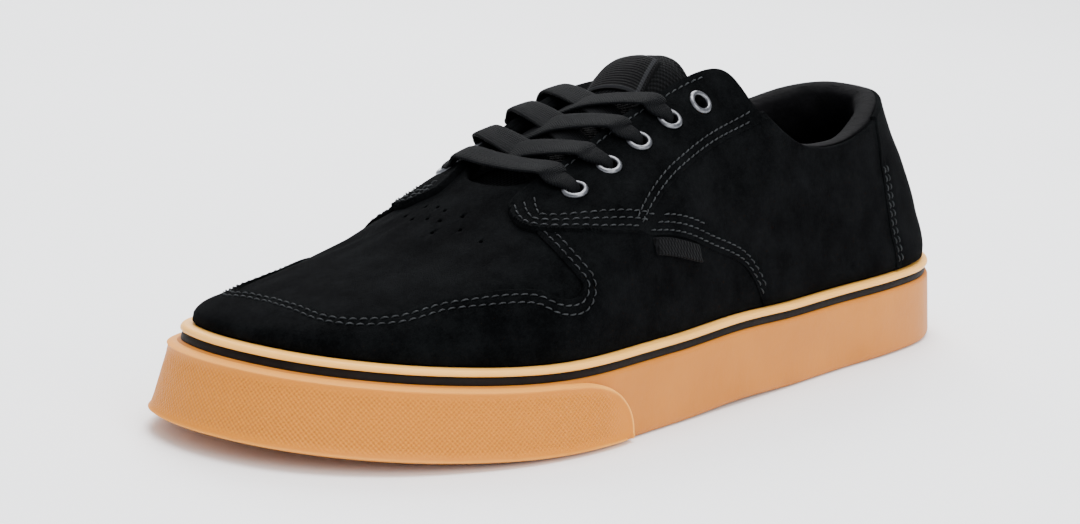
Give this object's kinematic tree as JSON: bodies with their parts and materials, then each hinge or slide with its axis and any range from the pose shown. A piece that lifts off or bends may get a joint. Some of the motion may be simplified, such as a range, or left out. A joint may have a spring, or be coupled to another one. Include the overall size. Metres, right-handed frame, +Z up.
{
  "type": "skateboarding shoe",
  "caption": "Low skateboarding shoe for the left foot with a suede upper, padded collar and tongue, flat laces, ringed eyelets and a gum rubber cup sole.",
  "frame": {"origin": "on the floor, under the middle of the shoe's box", "axes": "+X to the toe, +Y to the outer (little-toe) side of this left shoe, +Z up"},
  "size_m": [0.3008, 0.1128, 0.1],
  "materials": {
    "gum_rubber": "matte gum rubber",
    "cream_rubber": "satin cream rubber",
    "black_rubber": "matte dark rubber",
    "black_suede": "brushed suede, matte",
    "black_lining": "smooth padded lining",
    "black_textile": "woven textile over foam",
    "black_lace": "flat woven lace",
    "grey_metal": "satin grey metal"
  },
  "bodies": {
    "root": {"outsole": "gum_rubber", "toe_bumper": "gum_rubber", "pinstripe": "black_rubber", "top_strip": "cream_rubber", "insole": "black_textile", "upper": "black_suede", "toe_rand": "black_suede", "quarter_outer": "black_suede", "quarter_inner": "black_suede", "eyestay_outer": "black_suede", "eyestay_inner": "black_suede", "heel_counter": "black_suede", "side_tab": "black_textile", "tongue": "black_textile", "tongue_label": "black_textile", "collar_lining": "black_lining", "lace_bar": "black_lace", "lace_crossing_1": "black_lace", "lace_crossing_2": "black_lace", "lace_crossing_3": "black_lace", "eyelet_outer_1": "grey_metal", "eyelet_outer_2": "grey_metal", "eyelet_outer_3": "grey_metal", "eyelet_outer_4": "grey_metal", "eyelet_outer_5": "grey_metal", "eyelet_inner_1": "grey_metal", "eyelet_inner_2": "grey_metal", "eyelet_inner_3": "grey_metal", "eyelet_inner_4": "grey_metal", "eyelet_inner_5": "grey_metal"}
  },
  "joints": []
}
